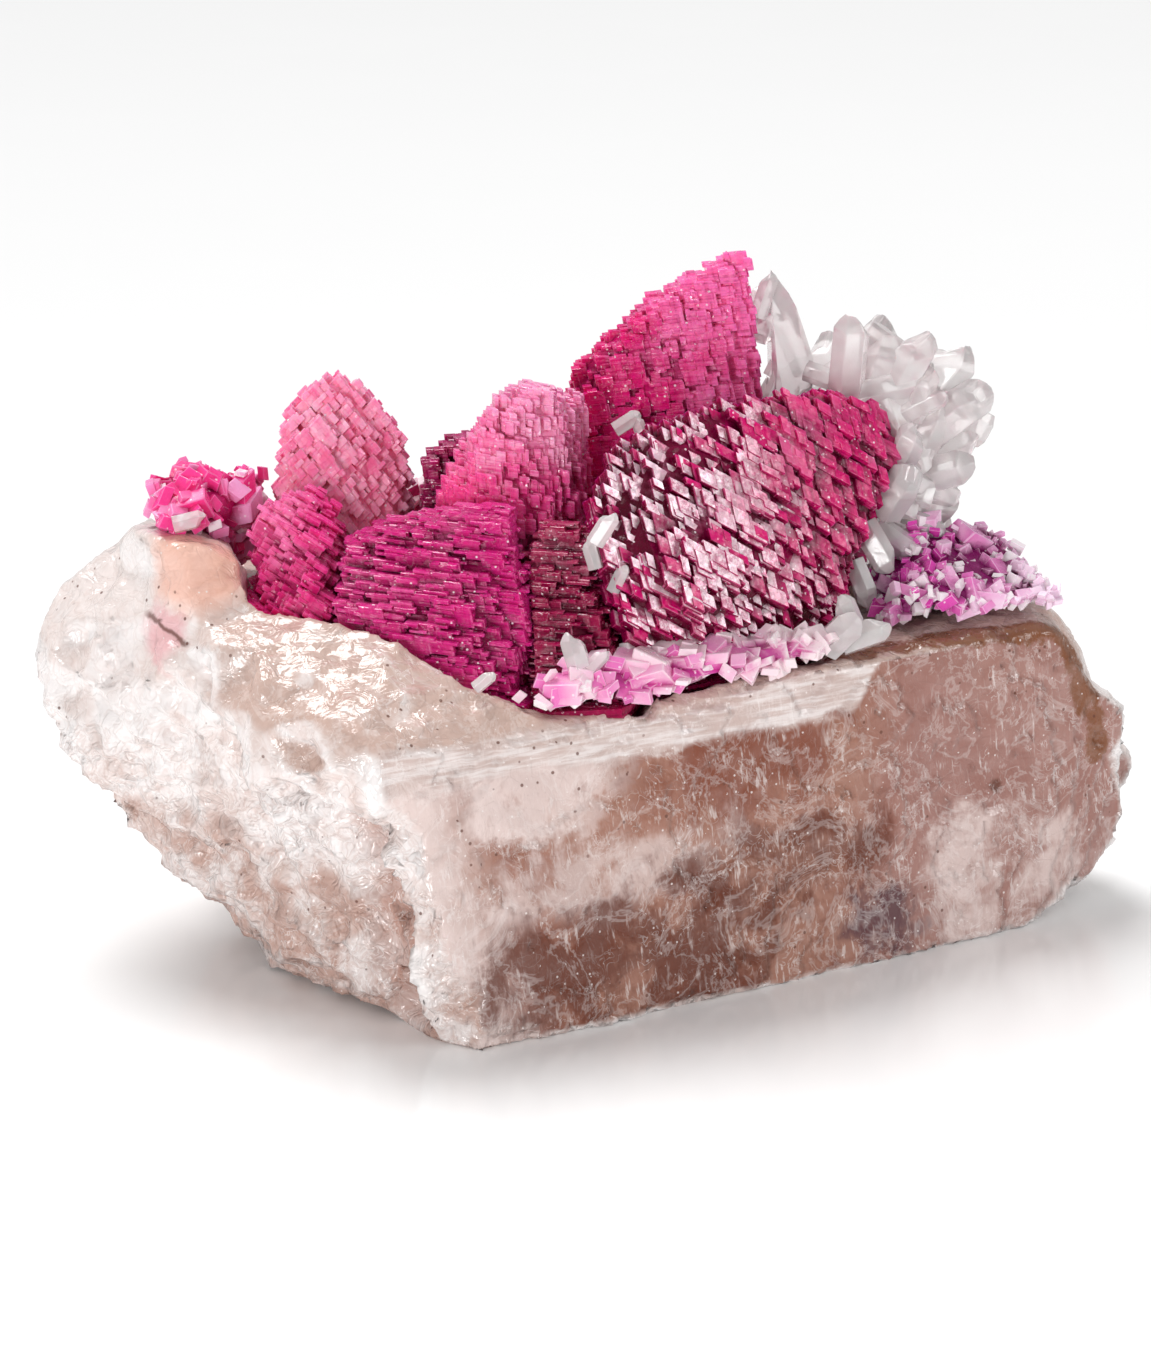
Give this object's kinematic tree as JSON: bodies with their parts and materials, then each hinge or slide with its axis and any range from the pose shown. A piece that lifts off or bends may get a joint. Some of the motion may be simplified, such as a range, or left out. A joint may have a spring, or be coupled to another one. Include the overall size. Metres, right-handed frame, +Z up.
{
  "type": "cobaltocalcite mineral specimen",
  "caption": "Stepped magenta cobaltocalcite crystals and a clear crystal cluster standing on a broken block of pale calcite, resting on its flat base.",
  "frame": {"origin": "middle of the footprint's bounding box, on the surface that the specimen rests on", "axes": "+X along the block's length, to the right in the picture; +Y into the picture, away from the broad cleaved face; +Z up"},
  "size_m": [0.09, 0.0612, 0.0538],
  "materials": {
    "pale_calcite": "translucent, glossy where cleaved",
    "magenta_calcite": "translucent, glassy",
    "pink_calcite": "translucent, glassy",
    "plum_calcite": "translucent, glassy",
    "mauve_calcite": "translucent, satin",
    "clear_calcite": "clear"
  },
  "bodies": {
    "root": {"calcite_matrix": "pale_calcite", "shield_crystal": "magenta_calcite", "terrace_crystal": "magenta_calcite", "front_crystal": "plum_calcite", "stair_crystal": "pink_calcite", "cone_crystal": "pink_calcite", "barrel_crystal": "pink_calcite", "peak_crystal": "magenta_calcite", "seam_crystal": "plum_calcite", "mauve_crystal": "mauve_calcite", "clear_cluster": "clear_calcite", "clear_blade": "clear_calcite", "right_druse": "magenta_calcite", "left_druse": "pink_calcite", "rim_crust": "mauve_calcite", "back_druse": "pink_calcite"}
  },
  "joints": []
}
